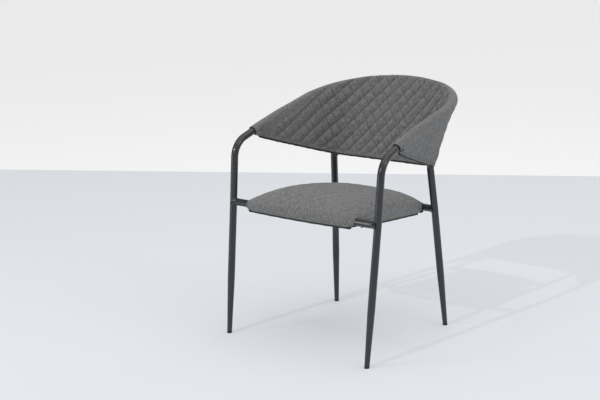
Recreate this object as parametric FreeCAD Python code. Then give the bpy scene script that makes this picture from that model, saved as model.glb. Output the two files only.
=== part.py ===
import FreeCAD, Part
import math
import os

# Dining armchair: a welded round-tube frame with a quilted cover over its arms and
# back, and a quilted, padded seat.
# Millimetres. +X to the sitter's right, +Y to the back, +Z up. The origin is on the
# floor, under the centre of the chair's outline. The chair is symmetric in X.

os.makedirs("parts", exist_ok=True)

# ---- driving dimensions: frame ----
TUBE_R = 11.0                           # outer radius of the frame's round tube
TUBE_WALL = 2.0
TIP_R = 7.5                             # radius of a leg at its tip
TAPER_LENGTH = 170.0                    # the lowest stretch of each leg is tapered
GLIDE_HEIGHT = 8.0
GLIDE_SPIGOT = 14.0
FRONT_FOOT = (259.6, -287.3, 0.0)
FRONT_JOINT = (267.3, -254.3, 406.8)    # front leg's axis at the front seat rail
REAR_FOOT = (213.4, 198.7, 0.0)
REAR_JOINT = (191.3, 156.4, 376.9)      # rear leg's axis at the rear seat rail
POST_BEND = (182.9, 137.6, 513.4)       # rear post's bend, at the cover's lower edge
POST_BEND_R = 50.0
ARM_BEND_R = 66.0                       # bend from the front post into the arm
ARM_CORNERS = [FRONT_JOINT, (269.5, -243.3, 583.0), (261.0, -95.3, 640.0),
               (259.5, 150.7, 706.0), (173.5, 250.2, 737.0), (0.0, 290.2, 754.0)]
POST_SHARE = 0.65                       # where the post meets the arm tube, mouth to middle
WELD_REACH = 4.5                        # how far a weld fillet stands out at the leg
BACK_ROD_R = 5.0
BACK_ROD_RISE = 9.0                     # rod above the cover's lower edge

# ---- driving dimensions: cover over the arms and back ----
MOUTH_FROM_JOINT = 250.0                # along the tube, from the front joint to the cover
COVER_SKIN = 1.8
COVER_BORE_R = 12.7                     # inside of the cover where it wraps the tube
MOUTH_EDGE = (266.4, -172.8, 596.5)     # the cover's lower edge at the mouth
ARM_EDGE = (241.4, -79.6, 575.5)        # and part of the way along the arm
EDGE_CORNER_R = 26.0                    # how the lower edge turns round the post
ARM_EDGE_HALF = 3.0                     # half the room between the skins at the lower edge
BACK_EDGE_HALF = 5.8
POST_EDGE_HALF = 12.2
POST_EDGE_WIDTH = 36.0
EDGE_TAPE = 1.5
COVER_STEP = 0.05                       # spacing of the cover's sections, mouth to middle
COVER_CORNER_STEP = 0.015               # and closer together round the post

# ---- driving dimensions: seat ----
SEAT_HALF_FRONT = 198.0                 # half width of the seat on the front rail
SEAT_HALF_REAR = 150.0
SEAT_BOW = 25.0                         # how far each side of the seat arches up between the rails
SEAT_CROWN = 24.0                       # how far the seat's middle rises above its sides
SEAT_SKIN = 2.5
SEAT_WRAP_R = 15.5                      # cover's outer radius where it wraps a seat rail
SEAT_SKIRT = 18.0                       # cover's lower edge below the rails' axes
STRAP_WIDTH = 42.0
STRAP_THICKNESS = 1.2
STRAP_COUNT = 5
UNDERSIDE_THICKNESS = 2.0
CLEARANCE = 0.3
COPE_GAP = 0.05                         # a coped tube end stands off by this, as welded tubes do
SEAT_STATIONS = (-1.0, -0.97, -0.85, -0.6, -0.3, 0.0, 0.3, 0.6, 0.85, 0.97, 1.0)

X_AXIS = FreeCAD.Vector(1, 0, 0)
Z_AXIS = FreeCAD.Vector(0, 0, 1)
ORIGIN = FreeCAD.Vector(0, 0, 0)


def vec(point):
    return FreeCAD.Vector(*point)


def mirrored(point):
    return FreeCAD.Vector(-point.x, point.y, point.z)


def unit(vector):
    return FreeCAD.Vector(vector).normalize()


def flip(shape):
    """The same piece on the chair's other side."""
    return shape.mirror(ORIGIN, X_AXIS)


def line(start, end):
    return Part.LineSegment(start, end).toShape()


def blend(low, high, share):
    return low + (high - low) * share


# ---- tubes ----
def natural_radii(corners, share=0.5):
    """The largest bend radius that each inner corner's two runs allow."""
    radii = []
    for before, corner, after in zip(corners, corners[1:], corners[2:]):
        turn = (corner - before).getAngle(after - corner)
        run = min(before.distanceToPoint(corner), corner.distanceToPoint(after))
        radii.append(share * run / math.tan(turn / 2))
    return radii


def route(corners, radii):
    """Straight runs joined by tangent arcs, as one wire."""
    edges = []
    start = corners[0]
    for before, corner, after, radius in zip(corners, corners[1:], corners[2:], radii):
        back = unit(before - corner)
        ahead = unit(after - corner)
        half_turn = (math.pi - back.getAngle(ahead)) / 2
        reach = radius * math.tan(half_turn)
        first = corner + back * reach
        last = corner + ahead * reach
        sagitta = radius / math.cos(half_turn) - radius
        middle = corner + unit(back + ahead) * sagitta
        if start.distanceToPoint(first) > 0.01:
            edges.append(line(start, first))
        edges.append(Part.Arc(first, middle, last).toShape())
        start = last
    if start.distanceToPoint(corners[-1]) > 0.01:
        edges.append(line(start, corners[-1]))
    return Part.Wire(edges)


def along(wire, distance):
    """The point and direction at a distance along a route."""
    for edge in wire.Edges:
        if distance <= edge.Length + 1e-6:
            place = edge.getParameterByLength(min(distance, edge.Length))
            return edge.valueAt(place), unit(edge.tangentAt(place))
        distance -= edge.Length
    raise ValueError("the route is shorter than that")


def rod(wire, radius):
    """A round bar swept along a route."""
    start, direction = along(wire, 0.0)
    ring = Part.Wire(Part.Circle(start, direction, radius).toShape())
    return wire.makePipeShell([ring], True, False)


def cylinder(start, end, radius):
    return Part.makeCylinder(radius, start.distanceToPoint(end), start, end - start)


def beyond(point, normal):
    """Everything near a cut that lies on the normal's side of it."""
    return Part.makeCylinder(3 * TUBE_R, 6 * TUBE_R, point, normal)


# ---- frame ----
front_foot = vec(FRONT_FOOT)
front_joint = vec(FRONT_JOINT)
rear_foot = vec(REAR_FOOT)
rear_joint = vec(REAR_JOINT)
post_bend = vec(POST_BEND)

arm_half = [vec(corner) for corner in ARM_CORNERS]
arm_corners = arm_half + [mirrored(corner) for corner in arm_half[-2::-1]]
arm_radii = natural_radii(arm_corners)
arm_radii[0] = ARM_BEND_R
arm_radii[-1] = ARM_BEND_R
arm_route = route(arm_corners, arm_radii)
arm_middle = arm_route.Length / 2
post_top, post_top_direction = along(arm_route, blend(MOUTH_FROM_JOINT, arm_middle, POST_SHARE))


def tapered_leg(foot, joint, next_point, radius, tip_radius):
    """A leg's round body from its tip to the mitre at the seat rail."""
    direction = unit(joint - foot)
    tip = foot + direction * (GLIDE_HEIGHT / direction.z)
    shoulder = foot + direction * TAPER_LENGTH
    cone = Part.makeCone(tip_radius, radius, tip.distanceToPoint(shoulder), tip, direction)
    shank = cylinder(shoulder, joint + direction * TUBE_R, radius)
    mitre = direction + unit(next_point - joint)
    return cone.fuse(shank).removeSplitter().cut(beyond(joint, mitre))


def hollow_leg(foot, joint, next_point):
    outside = tapered_leg(foot, joint, next_point, TUBE_R, TIP_R)
    inside = tapered_leg(foot, joint, next_point, TUBE_R - TUBE_WALL, TIP_R - TUBE_WALL)
    return outside.cut(inside)


def foot_glide(foot, joint):
    """A plastic tip: flat on the floor, with a spigot up the leg."""
    direction = unit(joint - foot)
    tip = foot + direction * (GLIDE_HEIGHT / direction.z)
    below = foot - direction * TUBE_R
    cap = Part.makeCone(TIP_R - 0.6, TIP_R, below.distanceToPoint(tip), below, direction)
    cap = cap.cut(Part.makeBox(100, 100, 50, foot - FreeCAD.Vector(50, 50, 50)))
    spigot = Part.makeCylinder(TIP_R - TUBE_WALL - CLEARANCE, GLIDE_SPIGOT, tip - direction, direction)
    return cap.fuse(spigot).removeSplitter()


arm_start = FreeCAD.Vector(arm_half[0])
arm_lead = unit(arm_half[1] - arm_half[0])
front_mitre = unit(front_joint - front_foot) + arm_lead
extended_corners = list(arm_corners)
extended_corners[0] = arm_start - arm_lead
extended_corners[-1] = mirrored(arm_start - arm_lead)
extended_route = route(extended_corners, arm_radii)
arm_solid = rod(extended_route, TUBE_R)
arm_tube = arm_solid.cut(rod(extended_route, TUBE_R - TUBE_WALL))
arm_tube = arm_tube.cut(beyond(arm_start, front_mitre * -1))
arm_tube = arm_tube.cut(beyond(mirrored(arm_start), mirrored(front_mitre * -1)))

front_leg = hollow_leg(front_foot, front_joint, arm_half[1])
rear_leg = hollow_leg(rear_foot, rear_joint, post_bend)

post_lead = unit(post_bend - rear_joint)
post_route = route([rear_joint - post_lead, post_bend, post_top], [POST_BEND_R])
post_solid = rod(post_route, TUBE_R)
rear_mitre = unit(rear_joint - rear_foot) + post_lead
rear_post = post_solid.cut(rod(post_route, TUBE_R - TUBE_WALL))
rear_post = rear_post.cut(beyond(rear_joint, rear_mitre * -1)).cut(rod(arm_route, TUBE_R + COPE_GAP))


def largest(shape):
    """The main solid of a cut, without offcuts."""
    return max(shape.Solids, key=lambda solid: solid.Volume)


def leg_room(foot, joint, lead):
    """The space of a leg and the tube above it, where a rail's end is coped."""
    radius = TUBE_R + COPE_GAP
    below = unit(joint - foot)
    lower = cylinder(joint - below * 60, joint, radius)
    upper = cylinder(joint, joint + lead * 60, radius)
    return lower.fuse(upper).fuse(Part.makeSphere(radius, joint))


def seat_rail(joint, room):
    """A cross rail, coped to the legs at both ends."""
    rail = cylinder(mirrored(joint), joint, TUBE_R).cut(cylinder(mirrored(joint), joint, TUBE_R - TUBE_WALL))
    return largest(rail.cut(room).cut(flip(room)))


front_room_of_leg = leg_room(front_foot, front_joint, arm_lead)
rear_room_of_leg = leg_room(rear_foot, rear_joint, post_lead)
front_rail = seat_rail(front_joint, front_room_of_leg)
rear_rail = seat_rail(rear_joint, rear_room_of_leg)


def rail_weld(joint, room):
    """The fillet weld round a seat rail's end, on the right-hand leg."""
    inward = X_AXIS * -1
    reach = TUBE_R + WELD_REACH
    bead = Part.makeCone(reach, TUBE_R + 0.2, reach, joint, inward)
    bead = bead.cut(Part.makeCylinder(TUBE_R, reach, joint, inward))
    return largest(bead.cut(room))


front_weld = rail_weld(front_joint, front_room_of_leg)
rear_weld = rail_weld(rear_joint, rear_room_of_leg)
rail_welds = Part.Compound([front_weld, flip(front_weld), rear_weld, flip(rear_weld)])

side_front = FreeCAD.Vector(SEAT_HALF_FRONT - SEAT_WRAP_R, front_joint.y, front_joint.z)
side_rear = FreeCAD.Vector(SEAT_HALF_REAR - SEAT_WRAP_R, rear_joint.y, rear_joint.z)
side_rail = cylinder(side_front, side_rear, TUBE_R).cut(cylinder(side_front, side_rear, TUBE_R - TUBE_WALL))
for end in (front_joint, rear_joint):
    side_rail = side_rail.cut(cylinder(mirrored(end), end, TUBE_R + COPE_GAP))
side_rail = largest(side_rail)


# ---- cover over the arms and back ----
corner_shift = EDGE_CORNER_R * 0.26
edge_corner = post_bend + FreeCAD.Vector(0.6, 0.8, 0) * corner_shift
edge_middle = FreeCAD.Vector(0, edge_corner.y, edge_corner.z)
mouth_centre, mouth_direction = along(arm_route, MOUTH_FROM_JOINT)
mouth_edge = vec(MOUTH_EDGE)
mouth_edge = mouth_edge - mouth_direction * (mouth_edge - mouth_centre).dot(mouth_direction)
edge_corners = [mouth_edge, vec(ARM_EDGE), edge_corner, edge_middle]
edge_route = route(edge_corners, [600.0, EDGE_CORNER_R])
edge_to_post = sum(edge.Length for edge in edge_route.Edges[:3]) + edge_route.Edges[3].Length / 2


def edge_half(distance):
    """Half the room between the two skins at the lower edge."""
    from_post = (distance - edge_to_post) / POST_EDGE_WIDTH
    side = 1 / (1 + math.exp(-2 * from_post))
    plain = blend(ARM_EDGE_HALF, BACK_EDGE_HALF, side)
    return plain + (POST_EDGE_HALF - plain) * math.exp(-from_post ** 2)


class CoverSection:
    """The cover at one place, from 0 at the right-hand mouth to 1 at the middle of the back."""

    def __init__(self, share):
        self.share = share
        distance = blend(MOUTH_FROM_JOINT, arm_middle, share)
        self.top, self.heading = along(arm_route, distance)
        if share < POST_SHARE:
            edge_distance = edge_to_post * share / POST_SHARE
        else:
            rest = (share - POST_SHARE) / (1 - POST_SHARE)
            edge_distance = blend(edge_to_post, edge_route.Length, rest)
        self.edge, edge_heading = along(edge_route, edge_distance)
        self.rise = unit(self.top - self.edge)
        self.up = unit(self.top - self.edge - self.heading * (self.top - self.edge).dot(self.heading))
        self.out = unit(self.heading.cross(self.up))
        edge_out = unit(edge_heading.cross(self.rise))
        settle = min(1.0, share / 0.12)
        self.edge_out = unit(self.out * (1 - settle) + edge_out * settle)
        self.half = edge_half(edge_distance)

    def tangent_point(self, bottom, radius, side):
        """Where a line from the lower edge meets the wrap round the tube."""
        across = (bottom - self.top).dot(self.out) * side
        down = (bottom - self.top).dot(self.up)
        span = math.hypot(across, down)
        angle = math.atan2(down, across) + math.acos(min(1.0, radius / span))
        return self.top + self.out * (side * radius * math.cos(angle)) + self.up * (radius * math.sin(angle)), angle

    def skin_line(self, radius, half, side):
        """Lower edge, tangent point, quarter point and crown of one face of a skin."""
        bottom = self.edge + self.edge_out * (side * half)
        tangent, angle = self.tangent_point(bottom, radius, side)
        middle = (angle + math.pi / 2) / 2
        quarter = self.top + self.out * (side * radius * math.cos(middle)) + self.up * (radius * math.sin(middle))
        crown = self.top + self.up * radius
        return bottom, tangent, quarter, crown


def skin_wire(section, side, turn):
    """One skin's closed section; side is 1 outside and -1 inside the chair."""
    outer = section.skin_line(COVER_BORE_R + COVER_SKIN, section.half + COVER_SKIN, side)
    inner = section.skin_line(COVER_BORE_R, section.half, side)
    outer = [turn(point) for point in outer]
    inner = [turn(point) for point in inner]
    edges = [line(outer[0], outer[1]),
             Part.Arc(outer[1], outer[2], outer[3]).toShape(),
             line(outer[3], inner[3]),
             Part.Arc(inner[3], inner[2], inner[1]).toShape(),
             line(inner[1], inner[0]),
             line(inner[0], outer[0])]
    return Part.Wire(edges)


def four_sided(section, turn, low, high, low_half, high_half):
    """A flat section between two heights on the cover's middle surface."""
    across = unit(section.out + section.edge_out)
    across = unit(across - section.rise * across.dot(section.rise))
    corners = [section.edge + section.rise * low - across * low_half,
               section.edge + section.rise * low + across * low_half,
               section.edge + section.rise * high + across * high_half,
               section.edge + section.rise * high - across * high_half]
    corners = [turn(corner) for corner in corners]
    return Part.makePolygon(corners + [corners[0]])


def same(point):
    return point


def cover_shares(first, last):
    """Where the cover's sections lie between two shares of its half length."""
    shares = [first]
    while shares[-1] < last:
        near_post = abs(shares[-1] - POST_SHARE) < 2 * COVER_STEP
        shares.append(shares[-1] + (COVER_CORNER_STEP if near_post else COVER_STEP))
    return shares[:-1] + [last]


def sweep_cover(make_wire, first, last, mirror_too):
    """A loft through the cover's sections, over one side or right across the back."""
    sections = [CoverSection(share) for share in cover_shares(first, last)]
    wires = [make_wire(section, same) for section in sections]
    if mirror_too:
        wires += [make_wire(section, mirrored) for section in sections[-2::-1]]
    return Part.makeLoft(wires, True, True)


def inner_skin(section, turn):
    return skin_wire(section, -1, turn)


def outer_skin(section, turn):
    return skin_wire(section, 1, turn)


def foam_wire(section, turn):
    depth = section.edge.distanceToPoint(section.top)
    high = depth - COVER_BORE_R - 1.5
    top_half = blend(section.half, COVER_BORE_R - 1.2, high / depth) - 0.8
    return four_sided(section, turn, 4.0, high, section.half - 0.8, top_half)


def tape_wire(section, turn):
    half = section.half + COVER_SKIN
    return four_sided(section, turn, -EDGE_TAPE, -CLEARANCE, half, half)


back_inner_panel = sweep_cover(inner_skin, 0.0, 1.0, True)
back_outer_panel = sweep_cover(outer_skin, 0.0, 1.0, True).cut(post_solid).cut(flip(post_solid))
post_room = rod(post_route, TUBE_R + 0.2)
arm_foam = sweep_cover(foam_wire, 0.22, POST_SHARE - 0.07, False)
back_foam = sweep_cover(foam_wire, POST_SHARE + 0.08, 1.0, True)
back_edge_tape = sweep_cover(tape_wire, 0.04, 1.0, True).cut(post_room).cut(flip(post_room))

rod_section = CoverSection(1.0)
rod_centre = rod_section.edge + rod_section.rise * BACK_ROD_RISE
rod_end = FreeCAD.Vector(post_bend.x, rod_centre.y, rod_centre.z)
back_rod = cylinder(mirrored(rod_end), rod_end, BACK_ROD_R)
back_rod = largest(back_rod.cut(post_solid).cut(flip(post_solid)))
rod_room = cylinder(mirrored(rod_end), rod_end, BACK_ROD_R + 0.2)
back_foam = largest(back_foam.cut(rod_room))


# ---- seat ----
def seat_share(y):
    return (y - front_joint.y) / (rear_joint.y - front_joint.y)


def rail_height(y):
    return blend(front_joint.z, rear_joint.z, seat_share(y))


def seat_half(y):
    return blend(SEAT_HALF_FRONT, SEAT_HALF_REAR, seat_share(y))


def seat_point(across, y, height, inset):
    """A point of the seat, from its share of the half width and its height above the rails."""
    return FreeCAD.Vector(across * (seat_half(y) - inset), y, rail_height(y) + height)


def seat_wire(across, inset, floor):
    """The seat's outline in a fore-and-aft section, inset from the cover's outer face."""
    radius = SEAT_WRAP_R - inset
    arch = SEAT_BOW + SEAT_CROWN * (1 - abs(across) ** 2.6)
    front = front_joint.y
    rear = rear_joint.y
    diagonal = radius * math.sqrt(0.5)
    steps = 8
    rim = []
    for step in range(steps + 1):
        share = step / steps
        rise = radius + arch * (1 - abs(2 * share - 1) ** 2.4)
        rim.append(seat_point(across, blend(front, rear, share), rise, inset))
    top = Part.BSplineCurve()
    top.interpolate(rim)
    low_front = seat_point(across, front - radius, floor, inset)
    low_rear = seat_point(across, rear + radius, floor, inset)
    side_front_point = seat_point(across, front - radius, 0, inset)
    side_rear_point = seat_point(across, rear + radius, 0, inset)
    front_turn = seat_point(across, front - diagonal, diagonal, inset)
    rear_turn = seat_point(across, rear + diagonal, diagonal, inset)
    edges = [line(low_front, side_front_point),
             Part.Arc(side_front_point, front_turn, rim[0]).toShape(),
             top.toShape(),
             Part.Arc(rim[-1], rear_turn, side_rear_point).toShape(),
             line(side_rear_point, low_rear),
             line(low_rear, low_front)]
    return Part.Wire(edges)


def seat_body(inset, floor):
    return Part.makeLoft([seat_wire(across, inset, floor) for across in SEAT_STATIONS], True, False)


def seat_slab(low, high, inset):
    """A flat sheet parallel to the rails, as large as the seat less an inset."""
    front = front_joint.y - SEAT_WRAP_R + inset
    rear = rear_joint.y + SEAT_WRAP_R - inset
    outline = [seat_point(-1, front, low, inset), seat_point(1, front, low, inset),
               seat_point(1, rear, low, inset), seat_point(-1, rear, low, inset)]
    face = Part.Face(Part.makePolygon(outline + [outline[0]]))
    return face.extrude(Z_AXIS * (high - low))


front_room = cylinder(mirrored(front_joint), front_joint, TUBE_R + CLEARANCE)
rear_room = cylinder(mirrored(rear_joint), rear_joint, TUBE_R + CLEARANCE)
seat_cover = seat_body(0.0, -SEAT_SKIRT).cut(seat_body(SEAT_SKIN, -SEAT_SKIRT - 5))
seat_cover = largest(seat_cover.cut(front_room).cut(rear_room))
strap_level = TUBE_R + STRAP_THICKNESS + CLEARANCE
below_straps = seat_slab(-2 * SEAT_WRAP_R, strap_level, -SEAT_WRAP_R)
seat_foam = largest(seat_body(SEAT_SKIN + CLEARANCE, -SEAT_SKIRT).cut(below_straps))
underside_low = -SEAT_SKIRT + 1.0
underside = seat_slab(underside_low, underside_low + UNDERSIDE_THICKNESS, SEAT_SKIN + CLEARANCE)
tape_outside = seat_slab(-SEAT_SKIRT - EDGE_TAPE, -SEAT_SKIRT - 0.05, 0.0)
tape_inside = seat_slab(-SEAT_SKIRT - 2 * EDGE_TAPE, -SEAT_SKIRT + EDGE_TAPE, SEAT_SKIN + 1.0)
seat_edge_tape = tape_outside.cut(tape_inside)


def strap_profile(offset):
    """A closed belt round the front and rear rails, seen from the side."""
    radius = TUBE_R + offset
    front = FreeCAD.Vector(0, front_joint.y, front_joint.z)
    rear = FreeCAD.Vector(0, rear_joint.y, rear_joint.z)
    run = unit(rear - front)
    up = FreeCAD.Vector(0, -run.z, run.y)
    edges = [line(front + up * radius, rear + up * radius),
             Part.Arc(rear + up * radius, rear + run * radius, rear - up * radius).toShape(),
             line(rear - up * radius, front - up * radius),
             Part.Arc(front - up * radius, front - run * radius, front + up * radius).toShape()]
    return Part.Face(Part.Wire(edges))


def seat_strap(number):
    """An elastic strap round both rails, spaced evenly across the rear rail."""
    span = 2 * (SEAT_HALF_REAR - 2 * SEAT_WRAP_R) - STRAP_WIDTH
    centre = span * (number / (STRAP_COUNT - 1) - 0.5)
    belt = strap_profile(STRAP_THICKNESS).cut(strap_profile(0.05))
    strap = belt.extrude(X_AXIS * STRAP_WIDTH)
    strap.translate(X_AXIS * (centre - STRAP_WIDTH / 2))
    return strap


# ---- tabs that close the covers' ends ----
def tab(place, size):
    block = Part.makeBox(size[0], size[1], size[2])
    block.translate(place - FreeCAD.Vector(size[0] / 2, size[1] / 2, size[2]))
    return block


TAB_SIZE = (8.0, 3.0, 6.0)
seat_tab_places = [seat_point(1, front_joint.y - SEAT_WRAP_R + 3.0, -SEAT_SKIRT - EDGE_TAPE - 0.05, 6.0),
                   seat_point(1, rear_joint.y + SEAT_WRAP_R - 3.0, -SEAT_SKIRT - EDGE_TAPE - 0.05, 6.0)]
seat_tabs = [tab(place, TAB_SIZE) for place in seat_tab_places]
seat_cover_tabs = Part.Compound(seat_tabs + [flip(piece) for piece in seat_tabs])
back_tab_section = CoverSection(POST_SHARE + 0.09)
back_tab = tab(back_tab_section.edge - Z_AXIS * (EDGE_TAPE + 0.6), TAB_SIZE)
back_cover_tabs = Part.Compound([back_tab, flip(back_tab)])


# ---- export ----
nodes = {
    "arm_and_back_tube": arm_tube,
    "front_leg_right": front_leg,
    "front_leg_left": flip(front_leg),
    "rear_leg_right": rear_leg,
    "rear_leg_left": flip(rear_leg),
    "rear_post_right": rear_post,
    "rear_post_left": flip(rear_post),
    "front_seat_rail": front_rail,
    "rear_seat_rail": rear_rail,
    "seat_side_rail_right": side_rail,
    "seat_side_rail_left": flip(side_rail),
    "back_edge_rod": back_rod,
    "rail_welds": rail_welds,
    "foot_glide_front_right": foot_glide(front_foot, front_joint),
    "foot_glide_front_left": flip(foot_glide(front_foot, front_joint)),
    "foot_glide_rear_right": foot_glide(rear_foot, rear_joint),
    "foot_glide_rear_left": flip(foot_glide(rear_foot, rear_joint)),
    "back_inner_panel": back_inner_panel,
    "back_outer_panel": back_outer_panel,
    "back_foam": back_foam,
    "arm_foam_right": arm_foam,
    "arm_foam_left": flip(arm_foam),
    "back_edge_tape": back_edge_tape,
    "back_cover_tabs": back_cover_tabs,
    "seat_cover": seat_cover,
    "seat_foam": seat_foam,
    "seat_underside": underside,
    "seat_edge_tape": seat_edge_tape,
    "seat_cover_tabs": seat_cover_tabs,
}
for number in range(STRAP_COUNT):
    nodes["seat_strap_%d" % (number + 1)] = seat_strap(number)

for name, shape in nodes.items():
    shape.exportStep("parts/%s.step" % name)
    print(name, "solids", len(shape.Solids), "valid", shape.isValid(), "cm3", round(shape.Volume / 1000, 1))
chair = Part.Compound(list(nodes.values()))
print(chair.BoundBox)
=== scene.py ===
"""Looks of the dining armchair: quilted cover, padded seat, bindings, tabs, finishes and studio.

The CAD frame is loaded as it is. Working lengths below are millimetres, in the CAD frame, and
meshes are written in metres.
"""
import math

import bmesh
import bpy
import numpy as np
from mathutils import Matrix, Vector


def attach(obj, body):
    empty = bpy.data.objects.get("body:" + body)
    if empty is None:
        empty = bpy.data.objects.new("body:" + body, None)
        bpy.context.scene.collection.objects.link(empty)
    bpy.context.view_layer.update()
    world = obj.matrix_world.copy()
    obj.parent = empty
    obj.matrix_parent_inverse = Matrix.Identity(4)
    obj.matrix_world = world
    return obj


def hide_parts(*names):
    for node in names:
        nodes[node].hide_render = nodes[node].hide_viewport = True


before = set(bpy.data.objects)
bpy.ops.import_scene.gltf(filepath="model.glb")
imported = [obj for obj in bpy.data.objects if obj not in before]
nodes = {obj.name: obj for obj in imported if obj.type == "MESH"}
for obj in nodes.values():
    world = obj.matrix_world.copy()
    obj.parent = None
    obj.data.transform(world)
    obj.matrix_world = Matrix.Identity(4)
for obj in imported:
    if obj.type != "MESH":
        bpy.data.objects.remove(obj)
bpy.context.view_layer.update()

MM = 0.001

# ---- the frame's driving dimensions, as in the CAD model ----
FRONT_JOINT = (267.3, -254.3, 406.8)
REAR_JOINT = (191.3, 156.4, 376.9)
POST_BEND = (182.9, 137.6, 513.4)
ARM_HALF = [FRONT_JOINT, (269.5, -243.3, 583.0), (261.0, -95.3, 640.0),
            (259.5, 150.7, 706.0), (173.5, 250.2, 737.0), (0.0, 290.2, 754.0)]
ARM_BEND_R = 66.0
MOUTH_FROM_JOINT = 250.0
MOUTH_EDGE = (266.4, -172.8, 596.5)
ARM_EDGE = (241.4, -79.6, 575.5)
EDGE_CORNER_R = 26.0
POST_SHARE = 0.65
SEAT_HALF_FRONT = 198.0
SEAT_HALF_REAR = 150.0

# ---- the cover's look ----
WRAP_R = 14.2                # outside of the cloth where it wraps the tube
SKIN = 1.8
COLUMNS = 228                # columns of the cover's mesh, mouth to middle
HEM_ROWS = (0.0, 1.2, 2.4, 3.4, 4.2, 4.9, 5.7, 6.8, 8.6, 11.0)
FACE_ROWS = 76
ARC_ROWS = 18
PUFF = 6.3                   # how far a quilted diamond stands over its seams
SEAT_PUFF = 1.3

# ---- how the soft pieces are filled ----
SWELL_LIMIT = 3.0            # the simulated swell is eased towards this
GRID_SKIP = (3, 3)           # the trial mesh takes every third row and column
COVER_PRESSURE = 1.2
SEAT_PRESSURE = 0.8
CUSHION_REACH = 110.0        # how far in from a rail the cushion keeps rising
CUSHION_RISE = 43.5
CUSHION_CROWN = 18.0         # and how much more its middle rises
SLEEVE_BOW = 30.0            # rise of the seat's tight sides between the rails
LINING_REACH = 13.0          # how far the lining runs past each rail's axis


# ------------------------------------------------------------------ small maths
def unit(v):
    return v / np.linalg.norm(v)


def unit_rows(v):
    return v / (np.linalg.norm(v, axis=-1, keepdims=True) + 1e-9)


def mix(low, high, share):
    return low + (high - low) * share


def smooth(low, high, x):
    t = np.clip((x - low) / (high - low), 0.0, 1.0)
    return t * t * (3 - 2 * t)


class Route:
    """Straight runs joined by tangent arcs."""

    def __init__(self, corners, radii):
        corners = [np.array(c, float) for c in corners]
        self.parts = []
        start = corners[0]
        for before, corner, after, radius in zip(corners, corners[1:], corners[2:], radii):
            back, ahead = unit(before - corner), unit(after - corner)
            half = (math.pi - math.acos(float(back @ ahead))) / 2
            first = corner + back * radius * math.tan(half)
            centre = corner + unit(back + ahead) * radius / math.cos(half)
            self.add_line(start, first)
            self.parts.append((2 * half * radius, centre, first - centre, -back * radius, radius))
            start = corner + ahead * radius * math.tan(half)
        self.add_line(start, corners[-1])
        self.length = sum(part[0] for part in self.parts)

    def add_line(self, start, end):
        span = float(np.linalg.norm(end - start))
        if span > 0.01:
            self.parts.append((span, start, (end - start) / span, None, None))

    def at(self, distance):
        """Point and direction at a distance from the start."""
        for span, origin, first, second, radius in self.parts:
            if distance <= span + 1e-6:
                if radius is None:
                    return origin + first * distance, first
                turn = distance / radius
                point = origin + first * math.cos(turn) + second * math.sin(turn)
                return point, unit(second * math.cos(turn) - first * math.sin(turn))
            distance -= span
        return self.at(self.length) if distance < 0.1 else None


def natural_radii(corners):
    radii = []
    for before, corner, after in zip(corners, corners[1:], corners[2:]):
        a, b = corner - before, after - corner
        turn = math.acos(float(unit(a) @ unit(b)))
        radii.append(0.5 * min(np.linalg.norm(a), np.linalg.norm(b)) / math.tan(turn / 2))
    return radii


# ------------------------------------------------------------------ the cover's form
arm_half = [np.array(c) for c in ARM_HALF]
arm_corners = arm_half + [c * (-1, 1, 1) for c in arm_half[-2::-1]]
arm_radii = natural_radii(arm_corners)
arm_radii[0] = arm_radii[-1] = ARM_BEND_R
arm_route = Route(arm_corners, arm_radii)
arm_middle = arm_route.length / 2
mouth_centre, mouth_heading = arm_route.at(MOUTH_FROM_JOINT)
edge_corner = np.array(POST_BEND) + np.array((0.6, 0.8, 0)) * EDGE_CORNER_R * 0.26
mouth_edge = np.array(MOUTH_EDGE)
mouth_edge = mouth_edge - mouth_heading * ((mouth_edge - mouth_centre) @ mouth_heading)
edge_route = Route([mouth_edge, ARM_EDGE, edge_corner, edge_corner * (0, 1, 1)], [600.0, EDGE_CORNER_R])
edge_to_post = sum(part[0] for part in edge_route.parts[:3]) + edge_route.parts[3][0] / 2


def edge_half(distance):
    """Half the room between the two faces at the lower edge."""
    from_post = (distance - edge_to_post) / 36.0
    side = 1 / (1 + math.exp(-2 * from_post))
    plain = mix(3.0, 5.8, side)
    return plain + (12.2 - plain) * math.exp(-from_post ** 2)


def cover_section(share):
    """Top of the tube, lower edge and directions of the cover's section, 0 mouth to 1 middle."""
    top, heading = arm_route.at(mix(MOUTH_FROM_JOINT, arm_middle, share))
    if share < POST_SHARE:
        edge_distance = edge_to_post * share / POST_SHARE
    else:
        edge_distance = mix(edge_to_post, edge_route.length, (share - POST_SHARE) / (1 - POST_SHARE))
    edge, edge_heading = edge_route.at(edge_distance)
    rise = unit(top - edge)
    up = unit(top - edge - heading * ((top - edge) @ heading))
    out = unit(np.cross(heading, up))
    settle = min(1.0, share / 0.12)
    edge_out = unit(out * (1 - settle) + unit(np.cross(edge_heading, rise)) * settle)
    return top, edge, up, out, edge_out, edge_half(edge_distance)


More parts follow.
